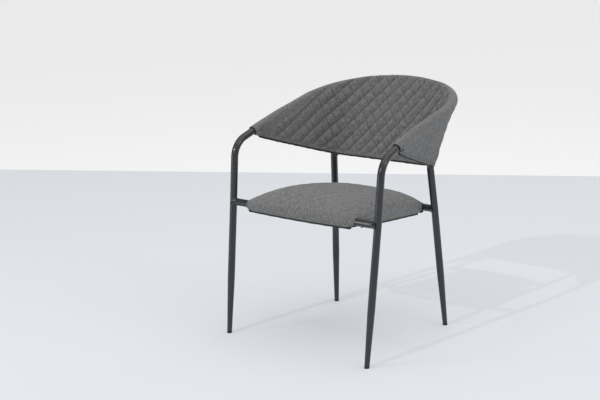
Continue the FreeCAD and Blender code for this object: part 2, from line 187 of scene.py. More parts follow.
def cover_column(share):
    """One column of the cover: inner face from its lower edge, over the tube, down the outer face."""
    top, edge, up, out, edge_out, half = cover_section(share)
    from_mouth = share * (arm_middle - MOUTH_FROM_JOINT)
    radius = WRAP_R + 0.5 * math.exp(-(from_mouth / 14.0) ** 2)
    ends = []
    for side in (-1, 1):
        bottom = edge + edge_out * side * (half + SKIN - 0.4)
        across, down = (bottom - top) @ out * side, (bottom - top) @ up
        span = math.hypot(across, down)
        angle = math.atan2(down, across) + math.acos(min(1.0, radius / span))
        ends.append((bottom, angle))
    (low_in, angle_in), (low_out, angle_out) = ends

    def on_wrap(turn):
        return top + out * radius * math.cos(turn) + up * radius * math.sin(turn)

    tangent_in, tangent_out = on_wrap(math.pi - angle_in), on_wrap(angle_out)
    faces = []
    for low, tangent in ((low_in, tangent_in), (low_out, tangent_out)):
        height = np.linalg.norm(tangent - low)
        hem = np.array(HEM_ROWS) * min(1.0, height / 30.0)
        rows = np.concatenate([hem, np.linspace(hem[-1], height, FACE_ROWS + 1)[1:]])
        faces.append(low + np.outer(rows / height, tangent - low))
    turns = np.linspace(math.pi - angle_in, math.pi / 2, ARC_ROWS // 2 + 1)
    turns = np.concatenate([turns, np.linspace(math.pi / 2, angle_out, ARC_ROWS // 2 + 1)[1:]])
    arc = np.array([on_wrap(turn) for turn in turns])
    return np.concatenate([faces[0], arc[1:-1], faces[1][::-1]])


half_cover = np.array([cover_column(share) for share in np.linspace(0, 1, COLUMNS)])
mirrored_half = half_cover[:-1] * (-1, 1, 1)
# rows run up the inner face and down the outer one; columns run from the left mouth to the right one
cover_base = np.concatenate([mirrored_half, half_cover[::-1]]).transpose(1, 0, 2)
face_count = len(HEM_ROWS) + FACE_ROWS
crown_row = face_count - 1 + ARC_ROWS // 2
middle_column = COLUMNS - 1


def unrolled(top_line, low_line):
    """The flat pattern of a panel between two lines, from its middle ruling outwards."""
    flat_top, flat_low = [np.zeros(2)], [np.array((0.0, -np.linalg.norm(top_line[0] - low_line[0])))]

    def corner(a, b, from_a, from_b):
        axis = b - a
        span = np.linalg.norm(axis)
        axis = axis / span
        run = (from_a ** 2 - from_b ** 2 + span ** 2) / (2 * span)
        side = math.sqrt(max(from_a ** 2 - run ** 2, 0.0))
        normal = np.array((-axis[1], axis[0]))
        choices = (a + axis * run + normal * side, a + axis * run - normal * side)
        return max(choices, key=lambda point: point[0])

    def gap(a, b):
        return float(np.linalg.norm(a - b))

    for k in range(1, len(top_line)):
        top = corner(flat_top[-1], flat_low[-1], gap(top_line[k], top_line[k - 1]), gap(top_line[k], low_line[k - 1]))
        low = corner(top, flat_low[-1], gap(low_line[k], top_line[k]), gap(low_line[k], low_line[k - 1]))
        flat_top.append(top)
        flat_low.append(low)
    return np.array(flat_top), np.array(flat_low)


def flat_pattern(rows):
    """Flat coordinates of one face and of its share of the wrap; rows go from the lower edge to the crown."""
    right = rows[:, middle_column:]
    tangent = face_count - 1
    flat_top, flat_low = unrolled(right[tangent], right[0])
    height = np.linalg.norm(right[tangent] - right[0], axis=1)
    below = np.linalg.norm(right[:face_count] - right[0][None], axis=2) / height
    steps = np.linalg.norm(np.diff(right[tangent:], axis=0), axis=2)
    above = 1 + np.concatenate([np.zeros((1, right.shape[1])), np.cumsum(steps, axis=0)])[1:] / height
    share = np.concatenate([below, above])[..., None]
    flat = flat_low[None] + (flat_top - flat_low)[None] * share
    left = flat[:, :0:-1] * (-1, 1)
    return np.concatenate([left, flat], axis=1)


inner_flat = flat_pattern(cover_base[:crown_row + 1])
outer_flat = flat_pattern(cover_base[:crown_row - 1:-1])[::-1]


# ------------------------------------------------------------------ quilting
# Two families of sewn lines on the flat pattern: direction, spacing and where it starts.
class Quilting:
    """One set of straight sewn lines: the cloth is quilted flat, before it is cut and drawn on."""

    def __init__(self, direction, pitch, start):
        self.direction = math.radians(direction)
        self.pitch = pitch
        self.start = start

    def phase(self, flat):
        """A number that is whole on each sewn line."""
        x, y = flat[..., 0], flat[..., 1]
        return (x * math.sin(self.direction) - y * math.cos(self.direction)) / self.pitch + self.start


INNER_RISING = Quilting(56, 34.0, 0.8)
INNER_FALLING = Quilting(130, 30.0, 0.8)
OUTER_RISING = Quilting(54, 34.0, 0.2)
OUTER_FALLING = Quilting(126, 32.0, 0.6)
SEAT_RISING = Quilting(55, 34.0, 0.3)
SEAT_FALLING = Quilting(125, 34.0, 0.1)


def pillow(rising, falling, tight=0.55):
    """0 on the sewn lines and 1 in the middle of a diamond; tight is how deep the falling lines are."""
    a = np.abs(np.sin(np.pi * rising)) ** 0.75
    b = np.abs(np.sin(np.pi * falling)) ** 0.75
    return a * (1 - tight + tight * b)


def ripple(flat, seed):
    """Slow unevenness of hand-fitted cloth, about -1 to 1."""
    x, y = flat[..., 0] / 1000, flat[..., 1] / 1000
    total = 0.0
    for k in range(5):
        angle = seed + 2.4 * k
        rate = 38 + 17 * k
        total = total + np.sin(rate * (x * math.cos(angle) + y * math.sin(angle)) + seed * (k + 1)) / (k + 1.5)
    return total / 1.6


# ------------------------------------------------------------------ grids into meshes
def grid_normals(points):
    down = np.gradient(points, axis=0)
    along = np.gradient(points, axis=1)
    normal = np.cross(along, down)
    return normal / (np.linalg.norm(normal, axis=2, keepdims=True) + 1e-9)


def grid_faces(rows, columns):
    index = np.arange(rows * columns).reshape(rows, columns)
    return np.stack([index[:-1, :-1], index[1:, :-1], index[1:, 1:], index[:-1, 1:]], -1).reshape(-1, 4)


def new_piece(name, points, faces, material, flip=False):
    mesh = bpy.data.meshes.new(name)
    faces = [tuple(int(i) for i in (face[::-1] if flip else face)) for face in faces]
    mesh.from_pydata((np.asarray(points, float).reshape(-1, 3) * MM).tolist(), [], faces)
    mesh.polygons.foreach_set("use_smooth", [True] * len(mesh.polygons))
    mesh.materials.append(material)
    mesh.update()
    piece = bpy.data.objects.new(name, mesh)
    bpy.context.scene.collection.objects.link(piece)
    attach(piece, "root")
    return piece


def corner_layer(piece, name, values):
    """Stores a vector for each face corner; values has one row per corner."""
    layer = piece.data.attributes.new(name, "FLOAT_VECTOR", "CORNER")
    values = np.asarray(values, np.float32)
    if values.shape[1] == 2:
        values = np.concatenate([values, np.zeros((len(values), 1), np.float32)], 1)
    layer.data.foreach_set("vector", values.ravel())


def widened(points, thickness, depth, sign):
    """The grid with a rim on each side: a rounded edge of the cloth's thickness, then its inside."""
    normals = grid_normals(points) * sign
    for _ in range(4):
        lower = normals[0]
        edge = points[0]
        inward = points[3] - edge
        inward = inward / (np.linalg.norm(inward, axis=1, keepdims=True) + 1e-9)
        inward[:4], inward[-4:] = inward[4], inward[-5]
        rim = [edge - lower * thickness + inward * depth, edge - lower * thickness,
               edge - lower * thickness * 0.5 - inward * 0.45]
        points = np.rot90(np.concatenate([np.stack(rim), points]))
        normals = np.rot90(np.concatenate([normals[:1]] * 3 + [normals]))
    return points


def distances(line):
    """How far along a line each of its points is."""
    return np.concatenate([[0], np.cumsum(np.linalg.norm(np.diff(line, axis=0), axis=1))])


def eased(line, reach):
    """The line with its corners rounded: each point becomes the average of its surroundings, ends fixed."""
    run = distances(line)
    width = np.minimum(reach, np.minimum(run, run[-1] - run) * 0.5) + 1e-6
    weight = np.exp(-((run[:, None] - run[None]) / width[:, None]) ** 2) * (np.gradient(run) + 1e-9)
    return weight / weight.sum(axis=1, keepdims=True) @ line


def joined_bands(name, strips, material):
    """One piece from several strips."""
    points, faces, start = [], [], 0
    for rows, thickness in strips:
        grid = np.array(rows, float)
        normal = grid_normals(grid)
        ring = np.concatenate([grid + normal * thickness / 2, (grid - normal * thickness / 2)[::-1]])
        length = ring.shape[1]
        index = np.arange(ring.shape[0] * length).reshape(ring.shape[0], length)
        index = np.concatenate([index, index[:1]])
        quads = np.stack([index[:-1, :-1], index[1:, :-1], index[1:, 1:], index[:-1, 1:]], -1).reshape(-1, 4)
        caps = [index[:-1, 0].tolist(), index[:-1, -1][::-1].tolist()]
        points.append(ring.reshape(-1, 3))
        faces += [[int(i) + start for i in quad] for quad in quads] + [[int(i) + start for i in cap] for cap in caps]
        start += ring.shape[0] * length
    return new_piece(name, np.concatenate(points), faces, material)


def upsampled(values, rows, columns):
    """Smooth values of a coarse grid on a finer one, by cubic interpolation along each axis."""
    def along(values, count):
        old = values.shape[0]
        place = np.linspace(0, old - 1, count)
        base = np.clip(np.floor(place).astype(int), 0, old - 2)
        t = (place - base)[:, None, None]
        take = [values[np.clip(base + k, 0, old - 1)] for k in (-1, 0, 1, 2)]
        return (take[1] + 0.5 * t * (take[2] - take[0]
                + t * (2 * take[0] - 5 * take[1] + 4 * take[2] - take[3]
                       + t * (3 * (take[1] - take[2]) + take[3] - take[0]))))
    values = along(values, rows)
    return along(values.transpose(1, 0, 2), columns).transpose(1, 0, 2)


def welded(points, faces):
    """The points without repeats, the faces on them, and where each point went: the cloth solver
    moves nothing at all on a mesh that has an edge of no length."""
    flat = points.reshape(-1, 3)
    _, first, back = np.unique(np.round(flat, 2), axis=0, return_index=True, return_inverse=True)
    order = np.argsort(first)
    place = np.empty_like(order)
    place[order] = np.arange(len(order))
    back = place[back.reshape(-1)]
    kept = []
    for face in faces:
        ring = list(dict.fromkeys(int(back[i]) for i in face))
        if len(ring) > 2:
            kept.append(ring)
    return flat[first[order]], kept, back


def closed_up(piece, reach=5e-5):
    """Joins points that lie on each other, where a grid runs out to nothing, so no face is left without area."""
    shell = bmesh.new()
    shell.from_mesh(piece.data)
    bmesh.ops.remove_doubles(shell, verts=shell.verts, dist=reach)
    bmesh.ops.dissolve_degenerate(shell, edges=shell.edges, dist=reach / 5)
    shell.to_mesh(piece.data)
    shell.free()


def swollen(points, held, pressure, cap, every):
    """How a padded grid fills out: a cloth simulation under pressure, held where the frame holds it."""
    rows, columns = points.shape[:2]
    pick_r = np.unique(np.round(np.linspace(0, rows - 1, rows // every[0])).astype(int))
    pick_c = np.unique(np.round(np.linspace(0, columns - 1, columns // every[1])).astype(int))
    coarse = points[np.ix_(pick_r, pick_c)]
    grip = held[np.ix_(pick_r, pick_c)].ravel()
    single, faces, back = welded(coarse, grid_faces(*coarse.shape[:2])[:, ::-1])
    strongest = np.zeros(len(single))
    np.maximum.at(strongest, back, grip)
    grip = strongest
    mesh = bpy.data.meshes.new("trial")
    mesh.from_pydata((single * MM).tolist(), [], faces)
    trial = bpy.data.objects.new("trial", mesh)
    bpy.context.scene.collection.objects.link(trial)
    group = trial.vertex_groups.new(name="held")
    for level in np.unique(np.round(grip, 2)):
        if level > 0:
            group.add([int(i) for i in np.nonzero(np.round(grip, 2) == level)[0]], float(level), "REPLACE")
    cloth = trial.modifiers.new("cloth", "CLOTH")
    cloth.settings.quality = 5
    cloth.settings.mass = 0.3
    cloth.settings.tension_stiffness = 15
    cloth.settings.compression_stiffness = 15
    cloth.settings.shear_stiffness = 5
    cloth.settings.bending_stiffness = 0.6
    cloth.settings.air_damping = 5
    cloth.settings.use_pressure = True
    cloth.settings.uniform_pressure_force = pressure
    cloth.settings.vertex_group_mass = "held"
    cloth.settings.effector_weights.gravity = 0
    cloth.collision_settings.use_collision = False
    cloth.point_cache.frame_start = 1
    cloth.point_cache.frame_end = 20
    scene = bpy.context.scene
    for number in range(1, 21):
        scene.frame_set(number)
    shape = trial.evaluated_get(bpy.context.evaluated_depsgraph_get())
    moved = np.empty(len(mesh.vertices) * 3, np.float32)
    shape.data.vertices.foreach_get("co", moved)
    shift = (moved.reshape(-1, 3) / MM - single)[back].reshape(coarse.shape)
    bpy.data.objects.remove(trial)
    bpy.data.meshes.remove(mesh)
    scene.frame_set(1)
    size = np.linalg.norm(shift, axis=2, keepdims=True)
    print("swell of a grid, mm: mean %.2f, most %.2f" % (size.mean(), size.max()))
    shift = shift / (size + 1e-9) * cap * np.tanh(size / cap)
    print("after the cap of %.1f mm: mean %.2f, most %.2f" % (
        cap, np.linalg.norm(shift, axis=2).mean(), np.linalg.norm(shift, axis=2).max()))
    place_r, place_c = len(pick_r), len(pick_c)
    return upsampled(shift.reshape(place_r, place_c, 3), rows, columns)


# ------------------------------------------------------------------ materials
class Finish:
    """A material's node tree, built from short calls."""

    def __init__(self, name):
        self.material = bpy.data.materials.new(name)
        self.material.use_nodes = True
        self.tree = self.material.node_tree
        self.shader = self.tree.nodes["Principled BSDF"]

    def node(self, kind, **values):
        made = self.tree.nodes.new(kind)
        for key, value in values.items():
            setattr(made, key, value)
        return made

    def join(self, value, socket):
        if isinstance(value, bpy.types.NodeSocket):
            self.tree.links.new(value, socket)
        else:
            socket.default_value = value

    def math(self, operation, *values, clamp=False):
        made = self.node("ShaderNodeMath", operation=operation, use_clamp=clamp)
        for value, socket in zip(values, made.inputs):
            self.join(value, socket)
        return made.outputs[0]

    def layer(self, name):
        made = self.node("ShaderNodeAttribute", attribute_name=name)
        split = self.node("ShaderNodeSeparateXYZ")
        self.join(made.outputs["Vector"], split.inputs[0])
        return split.outputs

    def place(self):
        return self.node("ShaderNodeTexCoord").outputs["Object"]

    def vector(self, x, y, z=0.0):
        made = self.node("ShaderNodeCombineXYZ")
        for value, socket in zip((x, y, z), made.inputs):
            self.join(value, socket)
        return made.outputs[0]

    def noise(self, vector, scale, detail=2.0, roughness=0.5):
        made = self.node("ShaderNodeTexNoise")
        self.join(vector, made.inputs["Vector"])
        made.inputs["Scale"].default_value = scale
        made.inputs["Detail"].default_value = detail
        made.inputs["Roughness"].default_value = roughness
        return made.outputs["Fac"]

    def between(self, value, low, high, out_low, out_high):
        made = self.node("ShaderNodeMapRange")
        made.clamp = True
        for given, socket in zip((value, low, high, out_low, out_high), made.inputs):
            self.join(given, socket)
        return made.outputs[0]

    def blend(self, factor, low, high):
        made = self.node("ShaderNodeMix", data_type="RGBA")
        sockets = [s for s in made.inputs if s.enabled]
        for given, socket in zip((factor, low, high), sockets):
            if isinstance(given, tuple) and len(given) == 3:
                given = (*given, 1.0)
            self.join(given, socket)
        return [s for s in made.outputs if s.enabled][0]

    def bump(self, height, strength=1.0):
        made = self.node("ShaderNodeBump")
        made.inputs["Strength"].default_value = strength
        made.inputs["Distance"].default_value = 1.0
        self.join(height, made.inputs["Height"])
        self.join(made.outputs[0], self.shader.inputs["Normal"])

    def set(self, **values):
        names = {"base": "Base Color", "rough": "Roughness", "sheen": "Sheen Weight",
                 "sheen_rough": "Sheen Roughness", "coat": "Coat Weight", "coat_rough": "Coat Roughness",
                 "metal": "Metallic", "spec": "Specular IOR Level"}
        for key, value in values.items():
            if isinstance(value, tuple):
                value = (*value, 1.0)
            self.join(value, self.shader.inputs[names[key]])


def woven_cloth(name, dark, light, thread, seam_shade):
    """Melange cloth: a plain weave of light and dark yarn, with sewn quilting lines and painted shade in their creases.
    """
    f = Finish(name)
    flat = f.layer("flat")
    x, y = flat[0], flat[1]
    warp = f.math("ABSOLUTE", f.math("SINE", f.math("MULTIPLY", x, math.pi / thread)))
    weft = f.math("ABSOLUTE", f.math("SINE", f.math("MULTIPLY", y, math.pi / thread)))
    cell = f.math("ADD", f.math("FLOOR", f.math("DIVIDE", x, thread)), f.math("FLOOR", f.math("DIVIDE", y, thread)))
    odd = f.math("FLOORED_MODULO", cell, 2.0)
    even = f.math("SUBTRACT", 1.0, odd)
    weave = f.math("ADD", f.math("MULTIPLY", warp, odd), f.math("MULTIPLY", weft, even))
    slub_x = f.noise(f.vector(f.math("MULTIPLY", x, 40.0), f.math("MULTIPLY", y, 620.0)), 1.0, 3.0, 0.6)
    slub_y = f.noise(f.vector(f.math("MULTIPLY", x, 620.0), f.math("MULTIPLY", y, 40.0), 7.0), 1.0, 3.0, 0.6)
    fleck = f.noise(f.vector(x, y, 3.0), 900.0, 2.0, 0.7)
    cloud = f.noise(f.vector(x, y, 9.0), 14.0, 3.0, 0.55)
    thick_yarn = f.noise(f.vector(f.math("MULTIPLY", x, 330.0), f.math("MULTIPLY", y, 75.0), 5.0), 1.0, 3.0, 0.65)
    thick_weft = f.noise(f.vector(f.math("MULTIPLY", x, 60.0), f.math("MULTIPLY", y, 330.0), 8.0), 1.0, 3.0, 0.65)
    streaks = f.math("ADD", f.math("MULTIPLY", thick_yarn, 0.65), f.math("MULTIPLY", thick_weft, 0.35))
    yarn = f.math("ADD", f.math("MULTIPLY", slub_x, odd), f.math("MULTIPLY", slub_y, even))
    yarn = f.math("ADD", f.math("MULTIPLY", yarn, 0.6), f.math("MULTIPLY", fleck, 0.4))
    tone = f.between(yarn, 0.34, 0.66, 0.0, 1.0)
    tone = f.math("ADD", f.math("MULTIPLY", tone, 0.62), f.math("MULTIPLY", cloud, 0.2))
    tone = f.math("ADD", tone, f.between(streaks, 0.34, 0.66, -0.42, 0.60), clamp=True)
    # painted shade: the tone is darker where the weave is low, between the threads
    tone = f.math("MULTIPLY", tone, f.between(weave, 0.0, 0.6, 0.55, 1.0))
    colour = f.blend(tone, dark, light)
    height = f.math("MULTIPLY", weave, 0.00028)
    height = f.math("ADD", height, f.math("MULTIPLY", yarn, 0.0003))
    if seam_shade:
        quilt = f.layer("quilt")
        gaps = []
        for phase, pitch in ((quilt[0], 0.034), (quilt[1], 0.033)):
            nearest = f.math("PINGPONG", phase, 0.5)
            gaps.append(f.math("MULTIPLY", nearest, pitch))
        gap = f.math("SMOOTH_MIN", gaps[0], gaps[1], 0.002)
        close = f.math("POWER", 2.718, f.math("MULTIPLY", f.math("POWER", f.math("DIVIDE", gap, 0.0022), 2.0), -1.0))
        seam = f.math("MULTIPLY", close, quilt[2])
        # painted shade: the colour is darkened in the creases along the sewn lines
        colour = f.blend(f.math("MULTIPLY", seam, seam_shade), colour, tuple(c * 0.5 for c in dark))
        height = f.math("SUBTRACT", height, f.math("MULTIPLY", seam, 0.0011))
    f.set(base=colour, rough=f.between(yarn, 0.3, 0.7, 0.98, 0.82), sheen=0.25, sheen_rough=0.55, spec=0.2)
    f.bump(height)
    return f.material


def powder_coat(name, base):
    """Semi-gloss powder paint: orange peel, faint mottling and slightly worn tone."""
    f = Finish(name)
    place = f.place()
    peel = f.noise(place, 900.0, 2.0, 0.5)
    mottle = f.noise(place, 45.0, 4.0, 0.6)
    colour = f.blend(f.between(mottle, 0.3, 0.7, 0.0, 1.0),
                     tuple(c * 0.86 for c in base), tuple(c * 1.16 for c in base))
    f.set(base=colour, rough=f.between(mottle, 0.3, 0.7, 0.20, 0.27), spec=0.5, coat=0.25, coat_rough=0.08)
    f.bump(f.math("MULTIPLY", peel, 0.00012))
    return f.material


def moulded_plastic(name, base):
    f = Finish(name)
    place = f.place()
    grain = f.noise(place, 1400.0, 3.0, 0.6)
    scuff = f.noise(place, 160.0, 4.0, 0.7)
    colour = f.blend(f.between(scuff, 0.5, 0.75, 0.0, 0.6), base, tuple(c * 2.4 for c in base))
    f.set(base=colour, rough=f.between(scuff, 0.4, 0.7, 0.5, 0.75))
    f.bump(f.math("MULTIPLY", grain, 0.00015))
    return f.material


def ribbed_tape(name, base, across, rib=0.0011):
    """Narrow woven tape: fine ribs along one axis and a little fuzz."""
    f = Finish(name)
    split = f.node("ShaderNodeSeparateXYZ")
    f.join(f.place(), split.inputs[0])
    rib_wave = f.math("ABSOLUTE", f.math("SINE", f.math("MULTIPLY", split.outputs[across], math.pi / rib)))
    fuzz = f.noise(f.place(), 1100.0, 3.0, 0.6)
    colour = f.blend(f.math("MULTIPLY", rib_wave, fuzz), tuple(c * 0.55 for c in base), tuple(c * 1.7 for c in base))
    f.set(base=colour, rough=f.between(fuzz, 0.3, 0.7, 0.75, 0.95), sheen=0.15)
    f.bump(f.math("ADD", f.math("MULTIPLY", rib_wave, 0.0002), f.math("MULTIPLY", fuzz, 0.0002)))
    return f.material


def felt(name, base):
    """Non-woven cloth: pressed fibres with a grid of tiny spot bonds."""
    f = Finish(name)
    split = f.node("ShaderNodeSeparateXYZ")
    f.join(f.place(), split.inputs[0])
    spots = f.math("MULTIPLY", f.math("SINE", f.math("MULTIPLY", split.outputs[0], 1600.0)),
                   f.math("SINE", f.math("MULTIPLY", split.outputs[1], 1600.0)))
    fibre = f.noise(f.place(), 520.0, 5.0, 0.7)
    colour = f.blend(fibre, tuple(c * 0.5 for c in base), tuple(c * 1.8 for c in base))
    f.set(base=colour, rough=0.95, sheen=0.1)
    f.bump(f.math("ADD", f.math("MULTIPLY", spots, 0.0001), f.math("MULTIPLY", fibre, 0.0004)))
    return f.material


# The back and the seat are one fabric: the seat's copy is painted lighter and the back's darker, for how the light
# falls on each. The last number sets the painted shade in the seam creases.
cloth = woven_cloth("melange_cloth", (0.053, 0.053, 0.053), (0.238, 0.237, 0.235), 0.0013, 0.36)
seat_cloth_painted_lighter = woven_cloth("seat_melange_cloth_painted_lighter", (0.060, 0.060, 0.060), (0.262, 0.261, 0.260), 0.0013, 0.06)
frame_paint = powder_coat("anthracite_paint", (0.0145, 0.0160, 0.0195))
weld_paint = powder_coat("anthracite_paint_on_welds", (0.012, 0.0135, 0.016))
foot_plastic = moulded_plastic("black_plastic", (0.014, 0.014, 0.015))
black_tape = ribbed_tape("black_tape", (0.012, 0.012, 0.013), 0)
elastic = ribbed_tape("black_elastic", (0.02, 0.02, 0.021), 0, 0.0022)
lining = felt("black_lining", (0.014, 0.014, 0.015))

finishes = {"rail_welds": weld_paint, "seat_underside": lining, "back_edge_tape": black_tape,
            "seat_edge_tape": black_tape, "seat_cover_tabs": black_tape, "back_cover_tabs": black_tape}
for name, node in nodes.items():
    if name.startswith("foot_glide"):
        finish = foot_plastic
    elif name.startswith("seat_strap"):
        finish = elastic
    else:
        finish = finishes.get(name, frame_paint)
    for place in node.material_slots:
        place.material = finish

# ------------------------------------------------------------------ cover
rows, columns = cover_base.shape[:2]
cover_sign = 1.0 if grid_normals(cover_base)[crown_row, middle_column, 2] > 0 else -1.0
held = np.zeros((rows, columns))
held[:len(HEM_ROWS) // 2] = 1.0
held[-(len(HEM_ROWS) // 2):] = 1.0
held[face_count - 1:rows - face_count + 1] = 1.0
held[:, :4] = held[:, -4:] = 1.0
cover_points = cover_base + swollen(cover_base, held, COVER_PRESSURE, SWELL_LIMIT, GRID_SKIP)

top_gap = np.zeros((rows, columns))
low_gap = np.zeros((rows, columns))
for k in range(columns):
    run = distances(cover_base[:, k])
    top_gap[:, k] = np.abs(run - run[crown_row])
    low_gap[:, k] = np.minimum(run, run[-1] - run)
share_of_half = np.abs(np.linspace(-1, 1, columns))          # 1 at the mouths, 0 in the middle
mouth_gap = (1 - share_of_half) * (arm_middle - MOUTH_FROM_JOINT)
plain_band = mix(4.0, 44.0, smooth(0.25, 0.75, share_of_half))
mask = smooth(0, 14, top_gap - plain_band[None]) * smooth(3, 16, low_gap) * smooth(45, 120, mouth_gap)[None]
inner_part, outer_part = slice(0, crown_row + 1), slice(crown_row, rows)
mask[outer_part] *= 0.4

phases = {}
relief = np.zeros((rows, columns))
for key, flat, part, rising, falling in (
        ("inner", inner_flat, inner_part, INNER_RISING, INNER_FALLING),
        ("outer", outer_flat, outer_part, OUTER_RISING, OUTER_FALLING)):
    up_phase, down_phase = rising.phase(flat), falling.phase(flat)
    phases[key] = (up_phase, down_phase)
    tight = mix(0.35, 0.85, smooth(-200, 120, flat[..., 0]))
    relief[part] += (pillow(up_phase, down_phase, tight) - 0.45) * PUFF * mask[part]
    relief[part] += ripple(flat, 1.3 if key == "inner" else 2.1) * 0.45 * smooth(6, 30, mouth_gap)[None]
# small puckers where the cloth is gathered to its lower edge along the arms
flat_x = np.concatenate([inner_flat[..., 0], outer_flat[1:, :, 0]])
pucker = np.sin(flat_x / 2.9 + 1.7 * np.sin(flat_x / 23.0)) * np.exp(-((low_gap - 9) / 8.0) ** 2)
relief += 0.4 * pucker * (smooth(0.35, 0.7, share_of_half) * smooth(25, 60, mouth_gap))[None]
# the hem of the outer face: a stitched groove above a rolled edge
outer_run = low_gap[outer_part]
stitch = 0.5 + 0.5 * np.sin(flat_x[outer_part] * 2 * np.pi / 4.5)
relief[outer_part] -= (1.9 + 0.6 * stitch) * np.exp(-((outer_run - 5.6) / 1.2) ** 2)
relief[outer_part] += 0.9 * np.exp(-((outer_run - 2.2) / 1.4) ** 2)
cover_points = cover_points + grid_normals(cover_points) * cover_sign * relief[..., None]


def padded_grid(values):
    """Repeats a grid's outer values on the rim that was added."""
    return np.pad(values, ((3, 3), (3, 3), (0, 0)), mode="edge")


def corner_values(values, faces):
    return values.reshape(-1, values.shape[-1])[faces].reshape(-1, values.shape[-1])


def turned(faces, sign):
    return faces[:, ::-1] if sign > 0 else faces


full = widened(cover_points, SKIN, 14.0, cover_sign)
faces = turned(grid_faces(*full.shape[:2]), cover_sign)
cover = new_piece("back_cover", full, faces, cloth)
# faces below the crown take the inner face's pattern, the others the outer face's
inside = (np.arange(len(faces)) // (columns + 5) < crown_row + 3)[:, None]
for layer, inner, outer in (
        ("flat", inner_flat * MM, outer_flat * MM),
        ("quilt", np.stack([*phases["inner"], mask[inner_part]], -1),
         np.stack([*phases["outer"], mask[outer_part]], -1))):
    sides = []
    for values, part in ((inner, inner_part), (outer, outer_part)):
        wide = np.zeros((rows, columns, values.shape[2]))
        wide[part] = values
        sides.append(corner_values(padded_grid(wide), faces))
    corner_layer(cover, layer, np.where(np.repeat(inside, 4, axis=0), *sides))
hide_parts("back_inner_panel", "back_outer_panel", "back_foam", "arm_foam_right", "arm_foam_left")

# black binding that closes the cover underneath and shows below the inner face
low_in, low_out = cover_points[0], cover_points[-1]
down_in = unit_rows(cover_points[0] - cover_points[8])
down_out = unit_rows(cover_points[-1] - cover_points[-9])
across = unit_rows(low_out - low_in)
wave = 0.5 * np.sin(np.arange(columns) / 2.3) * np.sin(np.arange(columns) / 9.0)
drop = (5.2 + wave)[:, None]
binding_rows = [low_in - down_in * 3.0 + across * 1.0, low_in + down_in * 0.3 + across * 0.8,
                low_in + down_in * drop * 0.8 + across * 0.7, low_in + down_in * drop + across * 1.5,
                low_in + down_in * (drop - 0.6) + across * 3.0,
                mix(low_in, low_out, 0.55) + down_in * 0.6,
                low_out - across * 2.6 - down_out * 0.6, low_out - across * 2.1 - down_out * 4.0]
back_binding = joined_bands("back_binding", [(np.array(binding_rows)[:, 9:-9], 0.9)], black_tape)
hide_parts("back_edge_tape")

# ------------------------------------------------------------------ seat
SEAT_ROWS_TOP = 110
SEAT_COLUMNS_TOP = 124
SEAT_HEM = (0, 1.2, 2.4, 3.4, 4.2, 5.0, 6.2, 8.0, 12.0)
HEM_DROP = 15.5
END_DROP = 9.0                 # the hem is cut away at its ends, where the rails come out


def seat_half(y):
    return mix(SEAT_HALF_FRONT, SEAT_HALF_REAR, (y - FRONT_JOINT[1]) / (REAR_JOINT[1] - FRONT_JOINT[1]))


def seat_shift(y):
    """The cover sits a little to the left on the front rail."""
    return -6.0 * np.clip((REAR_JOINT[1] - y) / (REAR_JOINT[1] - FRONT_JOINT[1]), 0, 1)


def rail_height(y):
    return mix(FRONT_JOINT[2], REAR_JOINT[2], (y - FRONT_JOINT[1]) / (REAR_JOINT[1] - FRONT_JOINT[1]))


def cut_away(from_end):
    """How much shorter the hem is at a distance from its end."""
    return (HEM_DROP - END_DROP) * (1 - np.clip(from_end / 14.0, 0, 1))


def seat_rise(from_edge, share, across, wrap):
    """Height over the rails: a tight sleeve at the ends of the rails, a full round cushion between them."""
    bow = 1 - np.abs(2 * share - 1) ** 2.4
    sleeve = wrap * np.sqrt(1 - (1 - np.clip(from_edge / wrap, 0, 1)) ** 2) + SLEEVE_BOW * bow
    cushion = (CUSHION_RISE * np.sqrt(1 - (1 - np.clip(from_edge / CUSHION_REACH, 0, 1)) ** 2)
               + CUSHION_CROWN * (1 - np.abs(2 * share - 1) ** 2.0))
    return mix(sleeve, cushion, 1 - abs(across) ** 3.4)


def seat_profile(across):
    """Fore-and-aft profile of the seat as (y, height over the rails)."""
    wrap = 15.2 - 3.0 * smooth(0.82, 0.98, abs(across))
    front, rear = FRONT_JOINT[1], REAR_JOINT[1]
    hems = []
    for end, heading in ((front, -1), (rear, 1)):
        skirt = HEM_DROP + 3.0 * (1 - across * across) - cut_away((1 - abs(across)) * seat_half(end))
        hems.append([(end + heading * wrap, h / 17.5 * skirt - skirt) for h in SEAT_HEM])
    turns = np.linspace(0, math.pi / 2, 9)
    depth = np.concatenate([wrap * (1 - np.cos(turns[:-1])), np.linspace(wrap, wrap + rear - front, SEAT_ROWS_TOP),
                            2 * wrap + rear - front - wrap * (1 - np.cos(turns[-2::-1]))])
    from_edge = np.minimum(depth, depth[-1] - depth)
    rise = seat_rise(from_edge, np.clip((depth - wrap) / (rear - front), 0, 1), across, wrap)
    return np.concatenate([hems[0], np.stack([depth + front - wrap, rise], 1), hems[1][::-1]])


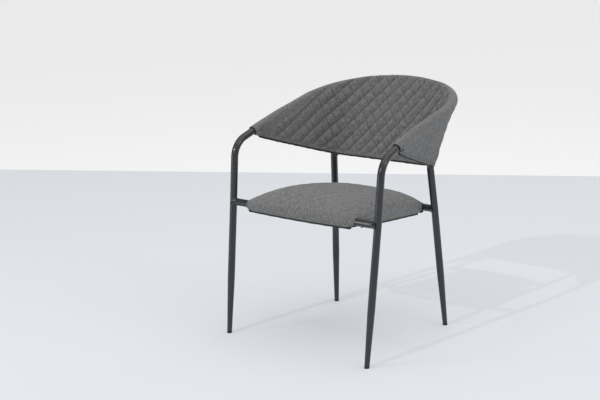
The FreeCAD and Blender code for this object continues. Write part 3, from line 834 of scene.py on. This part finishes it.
def seat_grid():
    """Rows run from the front hem over the top to the rear hem; columns from the left hem to the right hem."""
    spread = np.linspace(-1, 1, SEAT_COLUMNS_TOP)
    acrosses = 0.45 * np.sin(spread * math.pi / 2) + 0.55 * spread
    grid = []
    for row in np.array([seat_profile(a) for a in acrosses]).transpose(1, 0, 2):
        y, rise = row[:, 0], row[:, 1]
        line = np.stack([acrosses * seat_half(y) + seat_shift(y), y, rise + rail_height(y)], 1)
        end_y = y[0]
        from_rail = min(end_y - FRONT_JOINT[1], REAR_JOINT[1] - end_y) - 11.0
        low = -(HEM_DROP - cut_away(from_rail))
        drop = max(rise[0] - low, 0.0)
        steps = np.linspace(0, 1, 12, endpoint=False)
        sides = []
        for end in (line[0], line[-1]):
            foot = end - np.array((0, 0, drop))
            sides.append(foot + np.outer(steps, end - foot))
        whole = np.concatenate([sides[0], line, sides[1][::-1]])
        middle = 1 - abs(2 * np.clip((end_y - FRONT_JOINT[1]) / (REAR_JOINT[1] - FRONT_JOINT[1]), 0, 1) - 1)
        grid.append(eased(whole, 2.0 + 20.0 * smooth(0.0, 0.35, middle)))
    grid = np.array(grid)
    for k in range(grid.shape[1]):
        edge = abs(2 * k / (grid.shape[1] - 1) - 1)
        grid[:, k] = eased(grid[:, k], 6.0 - 3.0 * smooth(0.80, 1.0, edge))
    return grid


seat_base = seat_grid()
seat_rows, seat_columns = seat_base.shape[:2]
seat_sign = 1.0 if grid_normals(seat_base)[seat_rows // 2, seat_columns // 2, 2] > 0 else -1.0
held = np.zeros((seat_rows, seat_columns))
held[:14] = held[-14:] = 1.0
held[:, :6] = held[:, -6:] = 1.0
seat_points = seat_base + swollen(seat_base, held, SEAT_PRESSURE, SWELL_LIMIT, GRID_SKIP)
column_run = np.array([distances(row) for row in seat_base])
row_run = distances(seat_base[:, seat_columns // 2])
seat_flat = np.stack([column_run - column_run[:, seat_columns // 2][:, None],
                      np.broadcast_to(row_run[:, None], column_run.shape)], -1)
rising, falling = SEAT_RISING.phase(seat_flat), SEAT_FALLING.phase(seat_flat)
edge_gap = np.minimum(column_run, column_run[:, -1:] - column_run)
front_gap = np.minimum(row_run, row_run[-1] - row_run)[:, None]
seat_mask = smooth(16, 60, edge_gap) * smooth(26, 60, front_gap)
relief = (pillow(rising, falling) - 0.45) * SEAT_PUFF * seat_mask
relief += ripple(seat_flat, 0.7) * 0.5 * smooth(8, 30, edge_gap) * smooth(12, 40, front_gap)
hem_run = np.minimum(front_gap, edge_gap)
relief -= 0.9 * np.exp(-((hem_run - 4.8) / 0.9) ** 2) * (hem_run < 9)
seat_points = seat_points + grid_normals(seat_points) * seat_sign * relief[..., None]
full = widened(seat_points, SKIN, 8.0, seat_sign)
faces = turned(grid_faces(*full.shape[:2]), seat_sign)
seat = new_piece("seat_cushion", full, faces, seat_cloth_painted_lighter)
corner_layer(seat, "flat", corner_values(padded_grid(seat_flat * MM), faces))
corner_layer(seat, "quilt", corner_values(padded_grid(np.stack([rising, falling, seat_mask], -1)), faces))
closed_up(seat)
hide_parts("seat_cover", "seat_foam")

# black binding under the hem, open at the four ends where the rails come out
strips = []
for line, first, last in ((seat_points[0], 17, -17), (seat_points[-1], 17, -17),
                          (seat_points[:, 0], 26, -26), (seat_points[:, -1], 26, -26)):
    line = line[first:last]
    heading = unit_rows(np.gradient(line, axis=0))
    out = unit_rows(np.cross(heading, (0, 0, 1.0)))
    if (out[len(out) // 2] @ (line[len(out) // 2] - (0, -50, 400))) < 0:
        out = -out
    wave = 0.3 * np.sin(np.arange(len(line)) / 2.1)
    down = np.array((0, 0, -1.0))
    strips.append(([line - out * 1.1 - down * 3.0, line - out * 1.0 + down * 0.4,
                    line + out * 0.1 + down * (5.0 + wave)[:, None],
                    line - out * 1.8 + down * (5.6 + wave)[:, None],
                    line - out * 4.0 + down * 1.8, line - out * 6.0 + down * 0.2], 0.9))
seat_binding = joined_bands("seat_binding", strips, black_tape)
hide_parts("seat_edge_tape")

# lining under the seat, drawn tight between the hems
lining_rows, lining_columns = 60, 60
u = np.linspace(-1, 1, lining_columns)[None]
v = np.linspace(0, 1, lining_rows)[:, None]
front_y, rear_y = FRONT_JOINT[1] - LINING_REACH, REAR_JOINT[1] + LINING_REACH
y = mix(front_y, rear_y, v) + 0 * u
x = u * (seat_half(y) - 2.6) + seat_shift(y)
level = rail_height(y) - HEM_DROP + 0.8 - 1.2 * (1 - u ** 2) * (1 - (2 * v - 1) ** 2) * 2
level = level + 0.35 * np.sin(u * 21 + 2 * np.sin(v * 5)) * np.sin(v * 13 + 1)
lining_grid = np.stack([x, y, level], -1)
lining_sheet = new_piece("seat_lining", lining_grid, grid_faces(lining_rows, lining_columns), lining)
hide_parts("seat_underside")


# ------------------------------------------------------------------ tabs
def loop_tab(place, width_way, size):
    """A short tape folded into a loop: width, depth of the fold and drop."""
    width, fold, drop = size
    way = unit(np.array(width_way, float))
    thick_way = unit(np.cross(way, (0, 0, 1.0)))
    turns = np.linspace(0, math.pi, 9)
    outline = [(-fold / 2, 2.0)]
    outline += [(-fold / 2 * math.cos(t), -(drop - fold / 2) - fold / 2 * math.sin(t)) for t in turns]
    outline += [(fold / 2, 2.0)]
    steps = np.linspace(-width / 2, width / 2, 5)
    return ([np.array([place + way * s + thick_way * a + np.array((0, 0, b)) for s in steps]) for a, b in outline], 1.0)


tabs = []
for side in (-1, 1):
    for y, heading, inboard in ((FRONT_JOINT[1], -1, 16.0), (REAR_JOINT[1], 1, 27.0)):
        place = np.array((side * (seat_half(y) - inboard) + seat_shift(y), y + heading * 12.6,
                          rail_height(y) - HEM_DROP))
        tabs.append(loop_tab(place, (1, 0, 0), (7.0, 2.4, 5.0)))
seat_tabs = joined_bands("seat_tabs", tabs, black_tape)
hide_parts("seat_cover_tabs")
tabs = []
edge_tab = edge_route.at(edge_to_post + 9.0)[0]
for side in (-1, 1):
    place = edge_tab * (side, 1, 1) + np.array((0, -0.5, -1.0))
    tabs.append(loop_tab(place, (1, 0, 0), (8.0, 2.6, 6.5)))
back_tabs = joined_bands("back_tabs", tabs, black_tape)
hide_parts("back_cover_tabs")

# ------------------------------------------------------------------ studio
def stage_mesh(name, points, faces, base, glow=0.0):
    f = Finish(name + "_finish")
    f.shader.inputs["Emission Color"].default_value = (*base, 1.0)
    f.shader.inputs["Emission Strength"].default_value = glow
    soft = f.noise(f.place(), 1.5, 3.0, 0.5)
    tone = f.blend(soft, tuple(c * 0.985 for c in base), tuple(min(1.0, c * 1.015) for c in base))
    f.set(base=tone, rough=0.7, spec=0.2)
    mesh = bpy.data.meshes.new(name)
    mesh.from_pydata(points, [], faces)
    mesh.materials.append(f.material)
    piece = bpy.data.objects.new(name, mesh)
    bpy.context.scene.collection.objects.link(piece)
    return piece


# the floor changes tone along a straight line far behind the chair
FLOOR_REACH = 60.0
FAR_REACH = 90.0
edge_turn = math.radians(35.6)
edge_middle = Vector((-1.79, 1.99, 0))
edge_way = Vector((math.cos(edge_turn), math.sin(edge_turn), 0))
away = Vector((-edge_way.y, edge_way.x, 0))
left_end, right_end = edge_middle - edge_way * FAR_REACH, edge_middle + edge_way * FAR_REACH
near_left, near_right = left_end - away * FLOOR_REACH, right_end - away * FLOOR_REACH
far_left, far_right = left_end + away * FAR_REACH, right_end + away * FAR_REACH
stage_mesh("floor", [tuple(end) for end in (left_end, near_left, near_right, right_end)],
           [(0, 1, 2, 3)], (0.50, 0.518, 0.543), glow=0.53)
stage_mesh("far_floor", [tuple(end) for end in (left_end, right_end, far_right, far_left)],
           [(0, 1, 2, 3)], (0.60, 0.60, 0.60), glow=0.65)

camera_data = bpy.data.cameras.new("camera")
camera_data.sensor_width = 36.0
camera_data.lens = 1228.44 / 600 * 36
camera_data.clip_end = 250
camera = bpy.data.objects.new("camera", camera_data)
yaw, pitch, roll = (math.radians(a) for a in (38.699, 11.619, 0.09))
forward = Vector((-math.sin(yaw) * math.cos(pitch), math.cos(yaw) * math.cos(pitch), -math.sin(pitch)))
level = Vector((math.cos(yaw), math.sin(yaw), 0))
upright = level.cross(forward)
right = level * math.cos(roll) + upright * math.sin(roll)
above = upright * math.cos(roll) - level * math.sin(roll)
camera.matrix_world = Matrix.Translation((2.1733, -2.9785, 1.1617)) @ Matrix(
    (right, above, -forward)).transposed().to_4x4()
bpy.context.scene.collection.objects.link(camera)
bpy.context.scene.camera = camera


def lamp(name, kind, energy, place, target, size=1.0, tall=None, colour=(1, 1, 1)):
    data = bpy.data.lights.new(name, kind)
    data.energy = energy
    data.color = colour
    if kind == "AREA":
        data.shape = "RECTANGLE" if tall else "DISK"
        data.size = size
        if tall:
            data.size_y = tall
    else:
        data.angle = size
    made = bpy.data.objects.new(name, data)
    made.location = place
    made.rotation_euler = (Vector(target) - Vector(place)).to_track_quat("-Z", "Y").to_euler()
    bpy.context.scene.collection.objects.link(made)
    return made


lamp("key", "SUN", 0.66, (-0.05, -0.70, 0.40), (0, 0, 0), size=0.012)
lamp("strip", "AREA", 17, (-1.7, -2.9, 1.2), (0, 0, 0.45), size=0.16, tall=2.4)
lamp("top", "AREA", 3, (-0.3, -1.3, 2.6), (0, 0, 0.5), size=0.22)
lamp("strip_right", "AREA", 10, (3.6, 0.2, 2.2), (0, 0, 0.6), size=0.6)
lamp("overhead", "AREA", 60, (1.0, -0.2, 4.5), (0.7, -0.1, 0), size=6.0)

# a soft studio all round: brighter overhead and from the right, darker in front
world = bpy.data.worlds.new("studio")
world.use_nodes = True
tree = world.node_tree
way = tree.nodes.new("ShaderNodeSeparateXYZ")
tree.links.new(tree.nodes.new("ShaderNodeTexCoord").outputs["Generated"], way.inputs[0])
level = None
for axis, weight in ((2, 0.40), (0, 0.27), (1, 0.08)):
    part = tree.nodes.new("ShaderNodeMath")
    part.operation = "MULTIPLY_ADD"
    tree.links.new(way.outputs[axis], part.inputs[0])
    part.inputs[1].default_value = weight
    part.inputs[2].default_value = 0.36
    if level is not None:
        tree.links.new(level, part.inputs[2])
    level = part.outputs[0]
tree.nodes["Background"].inputs["Color"].default_value = (0.99, 0.995, 1.0, 1)
tree.links.new(level, tree.nodes["Background"].inputs["Strength"])
bpy.context.scene.world = world
bpy.context.scene.view_settings.view_transform = "Standard"
